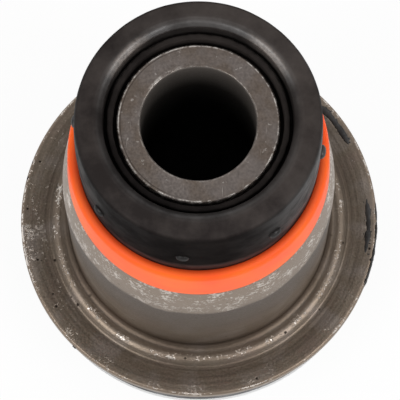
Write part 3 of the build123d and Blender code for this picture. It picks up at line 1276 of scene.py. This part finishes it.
@dataclass
class RubberFlash:
    """Torn rubber flash on the flange, made by Geometry Nodes along its edge."""

    smears: tuple[Smear, ...] = (
        Smear(-44.0, 17.0, 26.35, 12.0, 1.35, 0.4, 0.5, 24, 11),
        Smear(-7.0, 19.0, 26.25, 11.98, 1.0, 0.34, 0.4, 18, 12),
        Smear(-8.0, 33.0, 27.5, 11.12, 0.62, 1.9, 0.05, 0, 13),
        Smear(133.4, 1.6, 27.45, 10.7, 0.8, 0.9, 0.05, 0, 14),
    )
    steps_per_degree: float = 6.0
    sway_size: float = 1.6
    girth_size: float = 1.1
    crumb_r: float = 0.14
    crumb_spread: float = 0.6

    def strip(self, smear: Smear, material: bpy.types.Material) -> bpy.types.Mesh:
        """Make one strip with its loose crumbs.

        Args:
            smear: where it lies and how large it is.
            material: rubber finish.

        Returns:
            Its mesh.
        """
        shape = GrownShape("flash_strip")
        put = partial(add, shape.tree)
        radius = shape.size("Path radius", smear.radius * MM)
        height = shape.size("Path height", smear.height * MM)
        start = shape.size("Start angle", math.radians(-smear.start - smear.sweep))
        sweep = shape.size("Sweep angle", math.radians(smear.sweep))
        width = shape.size("Width", smear.width * MM)
        thick = shape.size("Thickness", smear.thickness * MM)
        ragged = shape.size("Raggedness", smear.ragged * MM)
        count = shape.size("Crumbs", smear.crumbs)
        seed = shape.size("Seed", smear.seed)
        steps = max(16, int(smear.sweep * self.steps_per_degree))
        arc = {"Radius": radius, "Start Angle": start, "Sweep Angle": sweep}
        path = put("GeometryNodeCurveArc", {**arc, "Resolution": steps})
        lift = put(COMBINE, {"Z": height})
        raised = put(MOVE, {"Geometry": path, "Offset": lift})
        here = put("GeometryNodeInputPosition")
        flat = put(VECTOR, {0: here, 1: (1, 1, 0)}, operation="MULTIPLY")
        outward = put(VECTOR, {0: flat}, operation="NORMALIZE")
        shift = put(MATH, {0: seed, 1: 3.7}, operation="MULTIPLY")
        swaying = {"Vector": here, "W": shift, "Scale": per_mm(self.sway_size), "Detail": 3.0}
        sway = put(NOISE, swaying, noise_dimensions="4D")
        off = put(MATH, {0: sway, 1: 0.5}, operation="SUBTRACT")
        push = put(MATH, {0: off, 1: ragged}, operation="MULTIPLY")
        aside = put(VECTOR, {0: outward, "Scale": push}, operation="SCALE")
        swayed = put(MOVE, {"Geometry": raised, "Offset": aside})
        lumps = {"Vector": here, "W": shift, "Scale": per_mm(self.girth_size), "Detail": 4.0}
        girth = put(NOISE, lumps, noise_dimensions="4D")
        swell = put(RANGE, {"Value": girth, "From Min": 0.3, "From Max": 0.7, "To Min": 0.45})
        factor = put("GeometryNodeSplineParameter").outputs["Factor"]
        ends = put(MATH, {0: factor, 1: 0.5}, operation="PINGPONG")
        taper = put(RANGE, {"Value": ends, "From Max": 0.12, "To Min": 0.08})
        scale = put(MATH, {0: swell, 1: taper}, operation="MULTIPLY")
        disc = put("GeometryNodeCurvePrimitiveCircle", {"Resolution": 12, "Radius": 0.5})
        oval = put(COMBINE, {"X": width, "Y": thick, "Z": 1.0})
        profile = put("GeometryNodeTransform", {"Geometry": disc, "Scale": oval})
        sweeping = {"Curve": swayed, "Profile Curve": profile, "Scale": scale, "Fill Caps": True}
        strip = put("GeometryNodeCurveToMesh", sweeping)
        ball = {"Radius": self.crumb_r * MM, "Subdivisions": 2}
        crumb = put("GeometryNodeMeshIcoSphere", ball)
        spots = put("GeometryNodeCurveArc", {**arc, "Resolution": count})
        reach = self.crumb_spread * MM
        box = {"Min": (-reach, -reach, -0.03 * MM), "Max": (reach, reach, 0.02 * MM), "Seed": seed}
        spread = put("FunctionNodeRandomValue", box, data_type="FLOAT_VECTOR")
        moved = put(VECTOR, {0: spread, 1: lift}, operation="ADD")
        scattered = put(MOVE, {"Geometry": spots, "Offset": moved})
        sizes = {"Min": (0.5, 0.4, 0.3), "Max": (1.6, 1.1, 0.8), "Seed": seed}
        grit = put("FunctionNodeRandomValue", sizes, data_type="FLOAT_VECTOR")
        strewn = {"Points": scattered, "Instance": crumb, "Scale": grit}
        crumbs = put("GeometryNodeInstanceOnPoints", strewn)
        wanted = put("FunctionNodeCompare", {2: count, 3: 0}, data_type="INT")
        loose = put("GeometryNodeSwitch", {"Switch": wanted, "True": crumbs}, input_type="GEOMETRY")
        both = put("GeometryNodeJoinGeometry", {"Geometry": strip})
        shape.tree.links.new(loose.outputs[0], both.inputs["Geometry"])
        return shape.grow(both, material)

    def grow(self, material: bpy.types.Material) -> bpy.types.Object:
        """Make every strip and join them.

        Args:
            material: rubber finish.

        Returns:
            One object with all the flash.
        """
        places: list[tuple[float, float, float]] = []
        faces: list[list[int]] = []
        for smear in self.smears:
            mesh = self.strip(smear, material)
            start = len(places)
            places += [tuple(vertex.co) for vertex in mesh.vertices]
            faces += [[start + k for k in face.vertices] for face in mesh.polygons]
            bpy.data.meshes.remove(mesh)
        joined = bpy.data.meshes.new("rubber_flash")
        joined.from_pydata(places, [], faces)
        joined.shade_smooth()
        return put_in_scene("rubber_flash", joined)


def toward(azimuth: float, elevation: float) -> Vector:
    """Unit vector to a place in the studio.

    Args:
        azimuth: degrees from the viewer's side, positive to the right.
        elevation: degrees above the floor.

    Returns:
        The direction from the part.
    """
    turn, rise = math.radians(azimuth), math.radians(elevation)
    return Vector((math.sin(turn) * math.cos(rise), -math.cos(turn) * math.cos(rise), math.sin(rise)))


@dataclass(frozen=True)
class SkyPatch:
    """A soft bright patch of the studio surround, with its angles in degrees."""

    azimuth: float
    elevation: float
    inner: float
    outer: float
    level: float


@dataclass
class Studio:
    """Pale floor, soft lamps, sky and the camera."""

    target: tuple[float, float, float] = (0.19, 0.0, 25.3)
    distance: float = 480.0
    elevation: float = 76.88
    roll: float = -0.2
    lens: float = 286.0
    sensor: float = 36.0
    clip: Point = (0.01, 20.0)
    # Floor and lamps are given in metres and watts.
    floor_size: float = 8.0
    lamp_distance: float = 1.3
    lamp_size: float = 0.75
    lamp_power: float = 8.0
    lamp_angles: tuple[Point, ...] = ((-50.0, 42.0), (50.0, 42.0))
    paper: tuple[float, float, float, float] = (0.9, 0.9, 0.9, 1.0)
    floor_drop: float = 0.02
    shade_radius: float = 26.5
    glow_share: float = 0.93
    # Level of the surround by the sine of its elevation, white where the paper curves up.
    surround: Stops = ((0.07, 1.0), (0.12, 0.35), (0.7, 0.3), (0.95, 0.22), (1.0, 0.22))
    patches: tuple[SkyPatch, ...] = (
        SkyPatch(180.0, 38.0, 12.0, 36.0, 0.8),
        SkyPatch(105.0, 50.0, 10.0, 28.0, 0.9),
        SkyPatch(-105.0, 50.0, 10.0, 28.0, 0.4),
    )

    def build(self) -> None:
        """Set up the whole studio."""
        self.floor()
        self.lamps()
        self.sky()
        self.camera()

    def floor(self) -> None:
        """Make the pale floor, white to the camera and in reflections and transmission, except under the
        cushion.
        """
        half, low = self.floor_size / 2, -self.floor_drop * MM
        corners = [(x * half, y * half, low) for x, y in ((-1, -1), (1, -1), (1, 1), (-1, 1))]
        mesh = bpy.data.meshes.new("studio_floor")
        mesh.from_pydata(corners, [], [(0, 1, 2, 3)])
        material = bpy.data.materials.new("studio_paper")
        tree = empty_tree(material)
        put = partial(add, tree)
        paper = put("ShaderNodeBsdfDiffuse", {"Color": self.paper})
        glow = put("ShaderNodeEmission", {"Strength": 1.0})
        rays = put("ShaderNodeLightPath").outputs
        seen = rays["Is Camera Ray"]
        for other in ("Is Glossy Ray", "Is Transmission Ray"):
            seen = put(MATH, {0: seen, 1: rays[other]}, operation="MAXIMUM")
        # A little of the lit paper stays in view, which carries the part's shadow, and under
        # the cushion the paper stays in shade, so the bore doesn't glow.
        outside = {0: TurnedSpace(tree).radius, 1: self.shade_radius}
        for share in (self.glow_share, put(MATH, outside, operation="GREATER_THAN")):
            seen = put(MATH, {0: seen, 1: share}, operation="MULTIPLY")
        mixed = put("ShaderNodeMixShader", {0: seen, 1: paper, 2: glow})
        put("ShaderNodeOutputMaterial", {"Surface": mixed})
        mesh.materials.append(material)
        put_in_scene("studio_floor", mesh)

    def lamps(self) -> None:
        """Hang two soft boxes at the viewer's left and right."""
        for index, (azimuth, elevation) in enumerate(self.lamp_angles):
            light = bpy.data.lights.new(f"softbox_{index}", "AREA")
            light.shape = "SQUARE"
            light.size = self.lamp_size
            light.energy = self.lamp_power
            lamp = put_in_scene(light.name, light)
            way = toward(azimuth, elevation)
            lamp.location = way * self.lamp_distance
            lamp.rotation_euler = way.to_track_quat("Z", "Y").to_euler()
            lamp.visible_camera = False

    def sky(self) -> None:
        """Make the even studio surround with its soft bright patches."""
        world = bpy.data.worlds.new("studio_surround")
        put = partial(add, empty_tree(world))
        way = put("ShaderNodeTexCoord").outputs["Generated"]
        rise = put("ShaderNodeSeparateXYZ", {0: way}).outputs["Z"]
        level = put(RAMP, {"Fac": rise}, stops=self.surround)
        for patch in self.patches:
            middle = toward(patch.azimuth, patch.elevation)
            near = put(VECTOR, {0: way, 1: middle}, operation="DOT_PRODUCT").outputs["Value"]
            rim, core = (math.cos(math.radians(angle)) for angle in (patch.outer, patch.inner))
            edge = {"Value": near, "From Min": rim, "From Max": core, "To Max": patch.level}
            glow = put(RANGE, edge, interpolation_type="SMOOTHSTEP")
            level = put(MATH, {0: level, 1: glow}, operation="ADD")
        back = put("ShaderNodeBackground", {"Color": (1.0, 1.0, 1.0, 1.0), "Strength": level})
        put("ShaderNodeOutputWorld", {"Surface": back})
        bpy.context.scene.world = world
        bpy.context.scene.view_settings.view_transform = "Standard"

    def camera(self) -> None:
        """Place the camera at the photograph's viewing angle."""
        back = toward(0.0, self.elevation)
        data = bpy.data.cameras.new("camera")
        data.lens = self.lens
        data.sensor_width = self.sensor
        data.clip_start, data.clip_end = self.clip
        camera = put_in_scene("camera", data)
        spot = (Vector(self.target) + back * self.distance) * MM
        facing = (-back).to_track_quat("-Z", "Y").to_matrix().to_4x4()
        lean = Matrix.Rotation(math.radians(self.roll), 4, "Z")
        camera.matrix_world = Matrix.Translation(spot) @ facing @ lean
        bpy.context.scene.camera = camera


def main() -> None:
    """Build every piece and the studio."""
    logging.basicConfig(level=logging.INFO, format="%(name)s: %(message)s")
    for part in (OuterSleeve(), InnerTube(), RubberMoulding(), StopRing(), Studio()):
        part.build()


if __name__ == "__main__":
    main()
